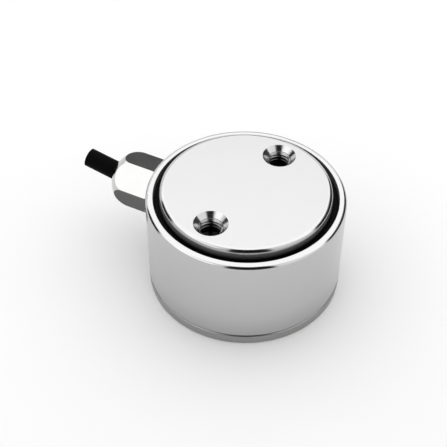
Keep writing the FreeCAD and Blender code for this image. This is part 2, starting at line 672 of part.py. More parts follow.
# Trimming resistors: chips with metal end caps, soldered to the board.
RESISTORS = {"zero_resistor": 118, "span_resistor": 145, "temperature_resistor": 235}
for label, angle in RESISTORS.items():
    chip = new_body(label, OUTLET)
    place = f"({BOARD_RADIUS} + {BOARD_BORE}) / 2"
    core = new_sketch(chip, "XY_Plane", f"{label}_core", BOARD_TOP, f"{angle}")
    draw_rectangle(core, place, "0", "sizes.resistor_width",
                   "sizes.resistor_length - 2 * sizes.resistor_cap")
    add_feature(chip, "Pad", core, f"{label}_ceramic", Length="=sizes.resistor_height")
    for side in ("", "-"):
        cap = new_sketch(chip, "XY_Plane", f"{label}_cap", BOARD_TOP, f"{angle}")
        draw_rectangle(cap, place, f"{side}(sizes.resistor_length - sizes.resistor_cap) / 2",
                       "sizes.resistor_width", "sizes.resistor_cap")
        add_feature(chip, "Pad", cap, f"{label}_end",
                    Length="=sizes.resistor_height + sizes.resistor_cap_rise")

# Strain gauges: a film with one grid along the column, one across it, and three solder tabs.
GRID_LINES = 5
TAB_HEIGHT_ON_FILM = "(-sizes.tab_drop)"
for number in range(1, GAUGE_COUNT + 1):
    face_turn = 360 / GAUGE_COUNT * (number - 1)
    gauge = new_body(f"gauge_{number}", f"{OUTLET} + {face_turn}", GAUGE_HEIGHT)
    film = new_sketch(gauge, "YZ_Plane", f"film_{number}", FLAT_DISTANCE)
    draw_rectangle(film, "0", "0", "sizes.film_width", f"({FLAT_LENGTH} - 2 * sizes.film_margin)")
    add_feature(gauge, "Pad", film, f"backing_{number}", Length="=sizes.film_thickness")
    foil = new_sketch(gauge, "YZ_Plane", f"foil_{number}", f"{FLAT_DISTANCE} + sizes.film_thickness")
    for line in range(GRID_LINES):
        step = f"{line - GRID_LINES // 2} * sizes.grid_pitch"
        draw_rectangle(foil, f"-sizes.grid_offset + {step}", "sizes.grid_rise",
                       "sizes.grid_line", "sizes.grid_length")
        draw_rectangle(foil, "sizes.grid_offset", f"sizes.grid_rise + {step}",
                       "sizes.grid_length", "sizes.grid_line")
    for place in LEADS:
        draw_rectangle(foil, f"{place} * sizes.tab_spacing", TAB_HEIGHT_ON_FILM,
                       "sizes.tab_width", "sizes.tab_height")
    add_feature(gauge, "Pad", foil, f"grids_{number}", Length="=sizes.foil_thickness")

    # Leads: out from the tabs, then down to the pads of the board.
    tab_x = value(f"{FLAT_DISTANCE} + sizes.film_thickness + sizes.foil_thickness")
    tab_z = value(f"{GAUGE_HEIGHT} - sizes.tab_drop")
    pad_x = value(LEAD_PAD)
    pad_z = value(PAD_TOP)
    wires = []
    for place in LEADS:
        tab_y = place * value("sizes.tab_spacing")
        middle_x = (tab_x + pad_x) / 2
        points = [(tab_x, tab_y, tab_z), (middle_x, tab_y, tab_z),
                  (pad_x, tab_y, (tab_z + pad_z) / 2), (pad_x, tab_y, pad_z)]
        path = rounded_wire(points, value("sizes.lead_bend_radius"))
        wires.append(round_bar(path, value("sizes.lead_diameter / 2")))
    leads = Part.makeCompound(wires)
    leads.rotate(FreeCAD.Vector(), UP, face_turn)
    add_shape(f"gauge_leads_{number}", Part.makeCompound(leads.Solids))

# Every piece is tested, then written under its own name.
doc.recompute()
pieces = [o for o in doc.Objects if o.TypeId in ("PartDesign::Body", "Part::Feature")]
for item in doc.Objects:
    if "Invalid" in item.State or "Error" in item.State:
        raise ValueError(f"{item.Label}: {item.State}")
for piece in pieces:
    if piece.Shape.isNull() or not piece.Shape.isValid() or not piece.Shape.Solids:
        raise ValueError(f"{piece.Label} is not a valid solid")
os.makedirs("parts", exist_ok=True)
for piece in pieces:
    piece.Shape.exportStep(f"parts/{piece.Label}.step")
    print(f"{piece.Label}: {len(piece.Shape.Solids)} solids, {piece.Shape.Volume:.2f} mm3")
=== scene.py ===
import json
import math

import bpy
import numpy as np
from mathutils import Matrix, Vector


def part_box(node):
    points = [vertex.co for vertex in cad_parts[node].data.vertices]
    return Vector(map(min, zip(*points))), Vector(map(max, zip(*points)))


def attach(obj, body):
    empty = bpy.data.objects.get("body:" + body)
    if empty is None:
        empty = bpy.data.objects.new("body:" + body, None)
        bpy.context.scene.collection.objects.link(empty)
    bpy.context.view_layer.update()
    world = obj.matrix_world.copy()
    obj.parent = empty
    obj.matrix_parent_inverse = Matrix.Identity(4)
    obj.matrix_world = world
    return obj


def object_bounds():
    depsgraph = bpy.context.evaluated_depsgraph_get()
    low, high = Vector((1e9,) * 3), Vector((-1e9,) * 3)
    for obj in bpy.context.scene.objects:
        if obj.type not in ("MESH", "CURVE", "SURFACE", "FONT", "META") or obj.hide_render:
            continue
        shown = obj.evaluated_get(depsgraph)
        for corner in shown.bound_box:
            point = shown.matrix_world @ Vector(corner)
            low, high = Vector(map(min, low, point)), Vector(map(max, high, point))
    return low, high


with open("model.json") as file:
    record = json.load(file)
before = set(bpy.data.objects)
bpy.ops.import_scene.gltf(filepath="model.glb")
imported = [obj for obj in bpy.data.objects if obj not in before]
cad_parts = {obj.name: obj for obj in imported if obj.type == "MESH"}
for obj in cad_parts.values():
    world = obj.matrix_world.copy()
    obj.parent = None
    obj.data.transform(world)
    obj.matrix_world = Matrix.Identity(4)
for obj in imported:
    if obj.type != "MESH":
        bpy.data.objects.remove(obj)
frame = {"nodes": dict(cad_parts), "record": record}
cad_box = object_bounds()
nodes = frame["nodes"]

# Elastic element: base flange, gauge column and load platform, turned as one spool from a bar
# of hardened stainless steel. Its platform is faced and polished, and carries the load.

MM = 0.001
PLATFORM_RADIUS = 21.5 * MM
PLATFORM_TOP = cad_box[1][2]
FLANGE_INNER_RADIUS = 23.5 * MM
HOLE_OFFSET = 15.0 * MM
HOLE_RADIUS = 3.0 * MM
COUNTERSINK_RADIUS = 4.25 * MM
CAVITY_MIDDLE = 14.8 * MM
CAVITY_HALF_HEIGHT = 7.25 * MM


def linear(code):
    """The linear colour of an sRGB hex value: a short straight part, then a power of 2.4."""
    rgb = np.array([int(code[i:i + 2], 16) for i in (1, 3, 5)]) / 255
    straight, curved = rgb / 12.92, ((rgb + 0.055) / 1.055) ** 2.4
    return (*np.where(rgb <= 0.04045, straight, curved).tolist(), 1.0)


def add_node(tree, kind, inputs=None, **settings):
    """Adds a node, sets its settings, and sets each input or links it where a socket is given."""
    node = tree.nodes.new(kind)
    for name, setting in settings.items():
        setattr(node, name, setting)
    for name, given in (inputs or {}).items():
        if isinstance(given, bpy.types.NodeSocket):
            tree.links.new(given, node.inputs[name])
        else:
            node.inputs[name].default_value = given
    return node


def start_material(name):
    """A material with an empty tree, and the piece's own coordinates in it."""
    material = bpy.data.materials.new(name)
    material.use_nodes = True
    tree = material.node_tree
    tree.nodes.clear()
    return material, tree, add_node(tree, "ShaderNodeTexCoord").outputs["Object"]


def dress(material, *names):
    """Gives CAD nodes their finish."""
    for name in names:
        nodes[name].material_slots[0].material = material


# Faced stainless steel: rings left by the lathe about the axis and a soft polishing haze, which
# spread a lamp into an even pale sheen. The real rings are 0.1 mm apart and are drawn at 0.3 mm
# so that they show. The rounded edge of the platform is buffed to a mirror, and the side below
# it is left as turned, darkened by painted shade towards the groove. The flange has a darker
# tone, painted shade of the shadowed floor it mirrors, the countersinks are cut smooth, and the
# drilled holes are darkened by painted shade.
FACED_HAZE = 0.28
BUFFED_HAZE = 0.10
TURNED_HAZE = 0.52
COUNTERSINK_HAZE = 0.15
CLOUD_HAZE = 0.06
BUFF_NONE, BUFF_FULL = PLATFORM_RADIUS - 1.3 * MM, PLATFORM_RADIUS - 1.0 * MM
TURNED_FULL, TURNED_NONE = PLATFORM_TOP - 1.25 * MM, PLATFORM_TOP - 0.95 * MM
SIDE_NONE, SIDE_FULL = PLATFORM_RADIUS - 0.6 * MM, PLATFORM_RADIUS - 0.02 * MM
GROOVE_SHADE_FULL, GROOVE_SHADE_NONE = PLATFORM_TOP - 2.9 * MM, PLATFORM_TOP - 1.9 * MM
HOLE_SHADE_FULL, HOLE_SHADE_NONE = HOLE_RADIUS + 0.02 * MM, HOLE_RADIUS + 0.09 * MM
COUNTERSINK_EDGE = 0.02 * MM
element_steel, tree, place = start_material("faced_stainless_steel")
axes = add_node(tree, "ShaderNodeSeparateXYZ", {"Vector": place})
flat_place = add_node(tree, "ShaderNodeCombineXYZ", {
    "X": axes.outputs["X"], "Y": axes.outputs["Y"]})
radius = add_node(tree, "ShaderNodeVectorMath", {
    0: flat_place.outputs["Vector"]}, operation="LENGTH")
rings = add_node(tree, "ShaderNodeTexNoise", {
    "W": radius.outputs["Value"], "Scale": 1 / (0.3 * MM), "Detail": 1.0}, noise_dimensions="1D")
cloud = add_node(tree, "ShaderNodeTexNoise", {
    "Vector": place, "Scale": 1 / (9 * MM), "Detail": 3.0})
side = add_node(tree, "ShaderNodeMath", {0: axes.outputs["X"]}, operation="ABSOLUTE")
across = add_node(tree, "ShaderNodeMath", {
    0: side.outputs["Value"], 1: HOLE_OFFSET}, operation="SUBTRACT")
hole_place = add_node(tree, "ShaderNodeCombineXYZ", {
    "X": across.outputs["Value"], "Y": axes.outputs["Y"]})
hole_radius = add_node(tree, "ShaderNodeVectorMath", {
    0: hole_place.outputs["Vector"]}, operation="LENGTH")
# Painted shade: the drilled hole walls below the countersinks are darkened.
within = add_node(tree, "ShaderNodeMapRange", {
    "Value": hole_radius.outputs["Value"], "From Min": HOLE_SHADE_NONE, "From Max": HOLE_SHADE_FULL})
height = add_node(tree, "ShaderNodeMath", {
    0: axes.outputs["Z"], 1: CAVITY_MIDDLE}, operation="SUBTRACT")
distance = add_node(tree, "ShaderNodeMath", {0: height.outputs["Value"]}, operation="ABSOLUTE")
outside = add_node(tree, "ShaderNodeMath", {
    0: distance.outputs["Value"], 1: CAVITY_HALF_HEIGHT}, operation="GREATER_THAN")
hole_shade = add_node(tree, "ShaderNodeMath", {
    0: within.outputs["Result"], 1: outside.outputs["Value"]}, operation="MULTIPLY")
flange = add_node(tree, "ShaderNodeMath", {
    0: radius.outputs["Value"], 1: FLANGE_INNER_RADIUS}, operation="GREATER_THAN")
faced_tone = add_node(tree, "ShaderNodeMix", {
    "Factor": cloud.outputs["Fac"], "A": linear("#C8C8C8"), "B": linear("#CECECE")},
    data_type="RGBA")
# Painted shade: the flange is darker, standing in for the shadowed floor it mirrors.
flange_shade_tone = add_node(tree, "ShaderNodeMix", {
    "Factor": cloud.outputs["Fac"], "A": linear("#9A9A9A"), "B": linear("#A4A4A3")},
    data_type="RGBA")
steel_tone = add_node(tree, "ShaderNodeMix", {
    "Factor": flange.outputs["Value"], "A": faced_tone.outputs["Result"],
    "B": flange_shade_tone.outputs["Result"]}, data_type="RGBA")
turned_side = add_node(tree, "ShaderNodeMapRange", {
    "Value": radius.outputs["Value"], "From Min": SIDE_NONE, "From Max": SIDE_FULL})
platform_side = add_node(tree, "ShaderNodeMath", {
    0: turned_side.outputs["Result"], 1: flange.outputs["Value"]}, operation="SUBTRACT")
# Painted shade: the turned side darkens towards the groove.
above_groove_shade = add_node(tree, "ShaderNodeMapRange", {
    "Value": axes.outputs["Z"], "From Min": GROOVE_SHADE_FULL, "From Max": GROOVE_SHADE_NONE})
groove_shade_tone = add_node(tree, "ShaderNodeMix", {
    "Factor": above_groove_shade.outputs["Result"], "A": linear("#2A2A2A"), "B": linear("#9E9E9E")},
    data_type="RGBA")
side_tone = add_node(tree, "ShaderNodeMix", {
    "Factor": platform_side.outputs["Value"], "A": steel_tone.outputs["Result"],
    "B": groove_shade_tone.outputs["Result"]}, data_type="RGBA")
# The hole walls take the dark painted shade tone.
tone = add_node(tree, "ShaderNodeMix", {
    "Factor": hole_shade.outputs["Value"], "A": side_tone.outputs["Result"],
    "B": linear("#1B1A19")}, data_type="RGBA")
rounded = add_node(tree, "ShaderNodeMapRange", {
    "Value": radius.outputs["Value"], "From Min": BUFF_NONE, "From Max": BUFF_FULL})
buffed = add_node(tree, "ShaderNodeMath", {
    0: rounded.outputs["Result"], 1: flange.outputs["Value"]}, operation="SUBTRACT")
edge_haze = add_node(tree, "ShaderNodeMapRange", {
    "Value": axes.outputs["Z"], "From Min": TURNED_FULL, "From Max": TURNED_NONE,
    "To Min": TURNED_HAZE, "To Max": BUFFED_HAZE})
polish = add_node(tree, "ShaderNodeMix", {
    "Factor": buffed.outputs["Value"], "A": FACED_HAZE, "B": edge_haze.outputs["Result"]})
countersunk = add_node(tree, "ShaderNodeMapRange", {
    "Value": hole_radius.outputs["Value"], "From Min": COUNTERSINK_RADIUS + COUNTERSINK_EDGE,
    "From Max": COUNTERSINK_RADIUS - COUNTERSINK_EDGE})
smooth = add_node(tree, "ShaderNodeMix", {
    "Factor": countersunk.outputs["Result"], "A": polish.outputs["Result"],
    "B": COUNTERSINK_HAZE})
haze = add_node(tree, "ShaderNodeMath", {
    0: cloud.outputs["Fac"], 1: CLOUD_HAZE, 2: smooth.outputs["Result"]},
    operation="MULTIPLY_ADD")
relief = add_node(tree, "ShaderNodeBump", {
    "Strength": 0.15, "Distance": 0.004 * MM, "Height": rings.outputs["Fac"]})
shader = add_node(tree, "ShaderNodeBsdfPrincipled", {
    "Base Color": tone.outputs["Result"], "Metallic": 1.0, "Roughness": haze.outputs["Value"],
    "Normal": relief.outputs["Normal"]})
add_node(tree, "ShaderNodeOutputMaterial", {"Surface": shader.outputs["BSDF"]})
dress(element_steel, "elastic_element")

# Tapped walls of the four fixing holes: coarse metric thread of 1 mm pitch, cut with a tap into
# the steel of the platform and the base. Each is one helical ridge that starts low at the mouth,
# where the cone of the countersink cuts its first turn off.

THREAD_PITCH = 1.0 * MM
THREAD_DEPTH = 0.5 * MM
THREAD_CREST_SHARE = 1 / 4
THREAD_ROOT_SHARE = 1 / 8
THREAD_SKIN = 0.02 * MM
THREAD_START = math.radians(220)
THREAD_STEPS_ROUND = 120
THREAD_STEPS_UP = 90
SHARP_EDGE = math.radians(50)


def closed_piece(name, points, material):
    """A closed ring from a grid of points, rows round the ring and columns round its section.
    Each face joins a point with the next in its row, the next row's two, and back."""
    rows, columns = points.shape[:2]
    corner = np.arange(rows * columns).reshape(rows, columns)
    beside, after = np.roll(corner, -1, 1), np.roll(corner, -1, 0)
    faces = np.stack([corner, beside, np.roll(after, -1, 1), after], -1).reshape(-1, 4)
    mesh = bpy.data.meshes.new(name)
    mesh.from_pydata(points.reshape(-1, 3).tolist(), [], faces.tolist())
    mesh.polygons.foreach_set("use_smooth", np.ones(len(faces), bool))
    mesh.set_sharp_from_angle(angle=SHARP_EDGE)
    mesh.materials.append(material)
    piece = bpy.data.objects.new(name, mesh)
    bpy.context.scene.collection.objects.link(piece)
    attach(piece, "root")


def tapped_wall(mount):
    """Points of a tapped wall. Its radius is the thread's outer one less a ridge that climbs one
    pitch a turn: a crest a quarter of a pitch wide, straight flanks, and a root an eighth wide.
    The ridge is no higher than the distance to the nearer end. The section closes along a
    straight skin on the outer wall."""
    reach = mount["dims"]["length_mm"] * MM
    outer_radius = mount["dims"]["r_mm"] * MM
    angle = np.linspace(0, 2 * np.pi, THREAD_STEPS_ROUND, endpoint=False)[:, None]
    rise = np.linspace(-reach / 2, reach / 2, THREAD_STEPS_UP)[None, :]
    turns = rise / THREAD_PITCH - (angle + THREAD_START) / (2 * np.pi)
    off_crest = np.abs(turns - np.round(turns))
    flank_foot = (1 - THREAD_ROOT_SHARE) / 2
    flank_width = flank_foot - THREAD_CREST_SHARE / 2
    ridge = THREAD_DEPTH * np.clip((flank_foot - off_crest) / flank_width, 0, 1)
    inner = outer_radius - THREAD_SKIN - np.minimum(ridge, reach / 2 - np.abs(rise))
    skin = np.full((THREAD_STEPS_ROUND, 2), outer_radius - THREAD_SKIN / 4)
    radii = np.concatenate([inner, skin], 1)
    heights = np.concatenate([rise, rise[:, -1:], rise[:, :1]], 1) * np.ones_like(angle)
    centre = np.array(mount["pos_m"])
    return np.stack([centre[0] + radii * np.cos(angle), centre[1] + radii * np.sin(angle),
                     centre[2] + heights], -1)


# Tapped steel: torn a little by the tap, so its crests catch the light near the mouth. Deeper in
# it is darkened by painted shade.
TAP_SHADE_FULL = 10.9 * MM
TAP_SHADE_NONE = 13.4 * MM
tapped_steel, tree, place = start_material("tapped_stainless_steel")
axes = add_node(tree, "ShaderNodeSeparateXYZ", {"Vector": place})
height = add_node(tree, "ShaderNodeMath", {
    0: axes.outputs["Z"], 1: CAVITY_MIDDLE}, operation="SUBTRACT")
distance = add_node(tree, "ShaderNodeMath", {0: height.outputs["Value"]}, operation="ABSOLUTE")
# Painted shade: darker with depth into the hole.
above_tap_shade = add_node(tree, "ShaderNodeMapRange", {
    "Value": distance.outputs["Value"], "From Min": TAP_SHADE_FULL, "From Max": TAP_SHADE_NONE})
tone = add_node(tree, "ShaderNodeMix", {
    "Factor": above_tap_shade.outputs["Result"], "A": linear("#0A0A0A"), "B": linear("#A8A8A8")},
    data_type="RGBA")
tear = add_node(tree, "ShaderNodeTexNoise", {
    "Vector": place, "Scale": 1 / (0.4 * MM), "Detail": 3.0})
haze = add_node(tree, "ShaderNodeMapRange", {
    "Value": tear.outputs["Fac"], "To Min": 0.16, "To Max": 0.26})
shader = add_node(tree, "ShaderNodeBsdfPrincipled", {
    "Base Color": tone.outputs["Result"], "Metallic": 1.0, "Roughness": haze.outputs["Result"]})
add_node(tree, "ShaderNodeOutputMaterial", {"Surface": shader.outputs["BSDF"]})
for mount in frame["record"]["mounts"]:
    if mount["kind"] == "threaded_hole":
        closed_piece(mount["name"], tapped_wall(mount), tapped_steel)

# Strain gauges: foil grids etched on a film and bonded to the four flats of the column, each
# with three thin leads that are soldered to its tabs and run down to the board.

OUTLET_TURN = math.radians(98)
FOIL_LEVEL = 8.105 * MM

# Polyimide film: amber, with a satin skin. Copper-nickel foil: a warm grey metal on top of it.
gauge_film, tree, place = start_material("polyimide_film_and_copper_nickel_foil")
turned = add_node(tree, "ShaderNodeMapping", {"Vector": place, "Rotation": (0, 0, -OUTLET_TURN)})
spread = add_node(tree, "ShaderNodeVectorMath", {
    0: turned.outputs["Vector"]}, operation="ABSOLUTE")
axes = add_node(tree, "ShaderNodeSeparateXYZ", {"Vector": spread.outputs["Vector"]})
level = add_node(tree, "ShaderNodeMath", {
    0: axes.outputs["X"], 1: axes.outputs["Y"]}, operation="MAXIMUM")
foil = add_node(tree, "ShaderNodeMath", {
    0: level.outputs["Value"], 1: FOIL_LEVEL}, operation="GREATER_THAN")
grain = add_node(tree, "ShaderNodeTexNoise", {
    "Vector": place, "Scale": 1 / (0.8 * MM), "Detail": 2.0})
film_tone = add_node(tree, "ShaderNodeMix", {
    "Factor": grain.outputs["Fac"], "A": linear("#A9621F"), "B": linear("#BC7630")},
    data_type="RGBA")
foil_tone = add_node(tree, "ShaderNodeMix", {
    "Factor": grain.outputs["Fac"], "A": linear("#8D8A83"), "B": linear("#A19E97")},
    data_type="RGBA")
tone = add_node(tree, "ShaderNodeMix", {
    "Factor": foil.outputs["Value"], "A": film_tone.outputs["Result"],
    "B": foil_tone.outputs["Result"]}, data_type="RGBA")
haze = add_node(tree, "ShaderNodeMapRange", {
    "Value": grain.outputs["Fac"], "To Min": 0.30, "To Max": 0.42})
shader = add_node(tree, "ShaderNodeBsdfPrincipled", {
    "Base Color": tone.outputs["Result"], "Metallic": foil.outputs["Value"],
    "Roughness": haze.outputs["Result"]})
add_node(tree, "ShaderNodeOutputMaterial", {"Surface": shader.outputs["BSDF"]})
dress(gauge_film, "gauge_1", "gauge_2", "gauge_3", "gauge_4")

# Tinned copper: drawn wire dipped in tin, silver grey with copper showing where the tin is thin.
# The strands of a conductor are 0.2 mm thick and show as cells on its cut end.
tinned_copper, tree, place = start_material("tinned_copper_wire")
strands = add_node(tree, "ShaderNodeTexVoronoi", {"Vector": place, "Scale": 1 / (0.2 * MM)})
thin = add_node(tree, "ShaderNodeTexNoise", {
    "Vector": place, "Scale": 1 / (0.6 * MM), "Detail": 2.0})
tone = add_node(tree, "ShaderNodeMix", {
    "Factor": thin.outputs["Fac"], "A": linear("#B98763"), "B": linear("#C9C2B8")},
    data_type="RGBA")
relief = add_node(tree, "ShaderNodeBump", {
    "Strength": 0.5, "Distance": 0.03 * MM, "Height": strands.outputs["Distance"]}, invert=True)
shader = add_node(tree, "ShaderNodeBsdfPrincipled", {
    "Base Color": tone.outputs["Result"], "Metallic": 1.0, "Roughness": 0.28,
    "Normal": relief.outputs["Normal"]})
add_node(tree, "ShaderNodeOutputMaterial", {"Surface": shader.outputs["BSDF"]})
dress(tinned_copper, "gauge_leads_1", "gauge_leads_2", "gauge_leads_3", "gauge_leads_4",
      "core_conductors")

# Bridge board: a ring of glass-fibre laminate about the column, which joins the gauges' leads
# to the cable's cores. Its copper pads are gilded, and its rim shows the bare laminate.

PAD_THICKNESS = 0.05 * MM
PAD_MARGIN = 0.005 * MM
PAD_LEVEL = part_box("bridge_board")[1][2] - PAD_THICKNESS + PAD_MARGIN
RIM_FLATNESS = 0.5

# Solder mask: a green lacquer over a weave of 0.5 mm. Bare laminate: dull straw. Pads: gold.
board_laminate, tree, place = start_material("glass_fibre_laminate")
axes = add_node(tree, "ShaderNodeSeparateXYZ", {"Vector": place})
pads = add_node(tree, "ShaderNodeMath", {
    0: axes.outputs["Z"], 1: PAD_LEVEL}, operation="GREATER_THAN")
facing = add_node(tree, "ShaderNodeSeparateXYZ", {
    "Vector": add_node(tree, "ShaderNodeNewGeometry").outputs["Normal"]})
flatness = add_node(tree, "ShaderNodeMath", {0: facing.outputs["Z"]}, operation="ABSOLUTE")
edge = add_node(tree, "ShaderNodeMath", {
    0: flatness.outputs["Value"], 1: RIM_FLATNESS}, operation="LESS_THAN")
weave = add_node(tree, "ShaderNodeTexChecker", {"Vector": place, "Scale": 1 / (0.5 * MM)})
grain = add_node(tree, "ShaderNodeTexNoise", {
    "Vector": place, "Scale": 1 / (1.5 * MM), "Detail": 2.0})
mask_tone = add_node(tree, "ShaderNodeMix", {
    "Factor": grain.outputs["Fac"], "A": linear("#1B5232"), "B": linear("#22623D")},
    data_type="RGBA")
rim_tone = add_node(tree, "ShaderNodeMix", {
    "Factor": grain.outputs["Fac"], "A": linear("#A3935A"), "B": linear("#B5A56B")},
    data_type="RGBA")
pad_tone = add_node(tree, "ShaderNodeMix", {
    "Factor": grain.outputs["Fac"], "A": linear("#C9A24A"), "B": linear("#D9B55F")},
    data_type="RGBA")
body_tone = add_node(tree, "ShaderNodeMix", {
    "Factor": edge.outputs["Value"], "A": mask_tone.outputs["Result"],
    "B": rim_tone.outputs["Result"]}, data_type="RGBA")
tone = add_node(tree, "ShaderNodeMix", {
    "Factor": pads.outputs["Value"], "A": body_tone.outputs["Result"],
    "B": pad_tone.outputs["Result"]}, data_type="RGBA")
relief = add_node(tree, "ShaderNodeBump", {
    "Strength": 0.3, "Distance": 0.01 * MM, "Height": weave.outputs["Fac"]})
shader = add_node(tree, "ShaderNodeBsdfPrincipled", {
    "Base Color": tone.outputs["Result"], "Metallic": pads.outputs["Value"], "Roughness": 0.38,
    "Normal": relief.outputs["Normal"]})
add_node(tree, "ShaderNodeOutputMaterial", {"Surface": shader.outputs["BSDF"]})
dress(board_laminate, "bridge_board")

# Board screws: three small slotted screws of zinc-plated steel, whose heads hold the board down.
# They are driven into tapped holes in the base.

# Zinc plating: a pale blue-grey skin with faint straw clouds from its passivation.
screw_steel, tree, place = start_material("zinc_plated_steel")
cloud = add_node(tree, "ShaderNodeTexNoise", {
    "Vector": place, "Scale": 1 / (1.2 * MM), "Detail": 2.0})
tone = add_node(tree, "ShaderNodeMix", {
    "Factor": cloud.outputs["Fac"], "A": linear("#A9AFB5"), "B": linear("#BDB9A8")},
    data_type="RGBA")
haze = add_node(tree, "ShaderNodeMapRange", {
    "Value": cloud.outputs["Fac"], "To Min": 0.24, "To Max": 0.36})
shader = add_node(tree, "ShaderNodeBsdfPrincipled", {
    "Base Color": tone.outputs["Result"], "Metallic": 1.0, "Roughness": haze.outputs["Result"]})
add_node(tree, "ShaderNodeOutputMaterial", {"Surface": shader.outputs["BSDF"]})
dress(screw_steel, "board_screws")

# Trimming resistors: three ceramic chips with tinned ends, soldered flat on the board. They
# bring the bridge to zero and set its span over temperature.

CHIP_COAT_HALF = 1.095 * MM
CHIP_DEGREES = {"zero_resistor": 118, "span_resistor": 145, "temperature_resistor": 235}

# Glazed ceramic: a glossy black coat over the middle of the chip, dull tin on its ends.
for chip_name, degrees in CHIP_DEGREES.items():
    chip, tree, place = start_material(f"glazed_ceramic_of_{chip_name}")
    turned = add_node(tree, "ShaderNodeMapping", {
        "Vector": place, "Rotation": (0, 0, -OUTLET_TURN - math.radians(degrees))})
    axes = add_node(tree, "ShaderNodeSeparateXYZ", {"Vector": turned.outputs["Vector"]})
    along = add_node(tree, "ShaderNodeMath", {0: axes.outputs["Y"]}, operation="ABSOLUTE")
    caps = add_node(tree, "ShaderNodeMath", {
        0: along.outputs["Value"], 1: CHIP_COAT_HALF}, operation="GREATER_THAN")
    grain = add_node(tree, "ShaderNodeTexNoise", {
        "Vector": place, "Scale": 1 / (0.3 * MM), "Detail": 2.0})
    coat_tone = add_node(tree, "ShaderNodeMix", {
        "Factor": grain.outputs["Fac"], "A": linear("#0D0D0E"), "B": linear("#171718")},
        data_type="RGBA")
    cap_tone = add_node(tree, "ShaderNodeMix", {
        "Factor": grain.outputs["Fac"], "A": linear("#A5A6A6"), "B": linear("#BDBEBE")},
        data_type="RGBA")
    tone = add_node(tree, "ShaderNodeMix", {
        "Factor": caps.outputs["Value"], "A": coat_tone.outputs["Result"],
        "B": cap_tone.outputs["Result"]}, data_type="RGBA")
    shader = add_node(tree, "ShaderNodeBsdfPrincipled", {
        "Base Color": tone.outputs["Result"], "Metallic": caps.outputs["Value"],
        "Roughness": 0.34})
    add_node(tree, "ShaderNodeOutputMaterial", {"Surface": shader.outputs["BSDF"]})
    dress(chip, chip_name)

# Housing sleeve: a thin tube of stainless steel pushed over the element and welded to its base
# flange. It keeps moisture from the gauges and is polished bright.

RIM_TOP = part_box("housing_sleeve")[1][2]
BORE_LIMIT = 23.2 * MM

# Polished stainless steel: buffed to a mirror on the rounded rim, and softer on the wall, which
# keeps the ghost of fine belt lines round the tube. The real lines are 0.02 mm apart and are
# drawn at 0.25 mm so that they show. A painted highlight makes the top of the rim paler, and
# painted shade darkens the foot of the wall. The bore is left as turned, dull and grey.
WALL_HAZE = 0.20
RIM_HAZE = 0.10
BORE_EXTRA_HAZE = 0.40
WALL_CLOUD_HAZE = 0.04
RIM_BUFF_NONE, RIM_BUFF_FULL = RIM_TOP - 1.6 * MM, RIM_TOP - 0.9 * MM
RIM_HIGHLIGHT_NONE, RIM_HIGHLIGHT_FULL = RIM_TOP - 0.5 * MM, RIM_TOP - 0.2 * MM
FOOT_SHADE_FULL, FOOT_SHADE_NONE = 3.5 * MM, 9.5 * MM
sleeve_steel, tree, place = start_material("polished_stainless_steel")
axes = add_node(tree, "ShaderNodeSeparateXYZ", {"Vector": place})
flat_place = add_node(tree, "ShaderNodeCombineXYZ", {
    "X": axes.outputs["X"], "Y": axes.outputs["Y"]})
radius = add_node(tree, "ShaderNodeVectorMath", {
    0: flat_place.outputs["Vector"]}, operation="LENGTH")
bore = add_node(tree, "ShaderNodeMath", {
    0: radius.outputs["Value"], 1: BORE_LIMIT}, operation="LESS_THAN")
stretched = add_node(tree, "ShaderNodeMapping", {
    "Vector": place, "Scale": (1 / (40 * MM), 1 / (40 * MM), 1 / (0.25 * MM))})
lines = add_node(tree, "ShaderNodeTexNoise", {
    "Vector": stretched.outputs["Vector"], "Scale": 1.0, "Detail": 1.0})
cloud = add_node(tree, "ShaderNodeTexNoise", {
    "Vector": place, "Scale": 1 / (14 * MM), "Detail": 3.0})
buffed = add_node(tree, "ShaderNodeMapRange", {
    "Value": axes.outputs["Z"], "From Min": RIM_BUFF_NONE, "From Max": RIM_BUFF_FULL,
    "To Min": WALL_HAZE, "To Max": RIM_HAZE})
finish = add_node(tree, "ShaderNodeMath", {
    0: bore.outputs["Value"], 1: BORE_EXTRA_HAZE, 2: buffed.outputs["Result"]},
    operation="MULTIPLY_ADD")
haze = add_node(tree, "ShaderNodeMath", {
    0: cloud.outputs["Fac"], 1: WALL_CLOUD_HAZE, 2: finish.outputs["Value"]},
    operation="MULTIPLY_ADD")
relief = add_node(tree, "ShaderNodeBump", {
    "Strength": 0.1, "Distance": 0.002 * MM, "Height": lines.outputs["Fac"]})
# Painted shade: the wall is darker towards its foot.
foot_shade_tone = add_node(tree, "ShaderNodeMix", {
    "Factor": cloud.outputs["Fac"], "A": linear("#B1B1B1"), "B": linear("#B6B6B6")},
    data_type="RGBA")
belted_tone = add_node(tree, "ShaderNodeMix", {
    "Factor": cloud.outputs["Fac"], "A": linear("#BDBDBD"), "B": linear("#C2C2C2")},
    data_type="RGBA")
# Painted highlight: a paler tone along the top of the rim.
rim_tone = add_node(tree, "ShaderNodeMix", {
    "Factor": cloud.outputs["Fac"], "A": linear("#C8C8C8"), "B": linear("#CDCDCD")},
    data_type="RGBA")
above_foot_shade = add_node(tree, "ShaderNodeMapRange", {
    "Value": axes.outputs["Z"], "From Min": FOOT_SHADE_FULL, "From Max": FOOT_SHADE_NONE})
wall_tone = add_node(tree, "ShaderNodeMix", {
    "Factor": above_foot_shade.outputs["Result"], "A": foot_shade_tone.outputs["Result"],
    "B": belted_tone.outputs["Result"]}, data_type="RGBA")
rim_highlight = add_node(tree, "ShaderNodeMapRange", {
    "Value": axes.outputs["Z"], "From Min": RIM_HIGHLIGHT_NONE, "From Max": RIM_HIGHLIGHT_FULL})
tone = add_node(tree, "ShaderNodeMix", {
    "Factor": rim_highlight.outputs["Result"], "A": wall_tone.outputs["Result"],
    "B": rim_tone.outputs["Result"]}, data_type="RGBA")
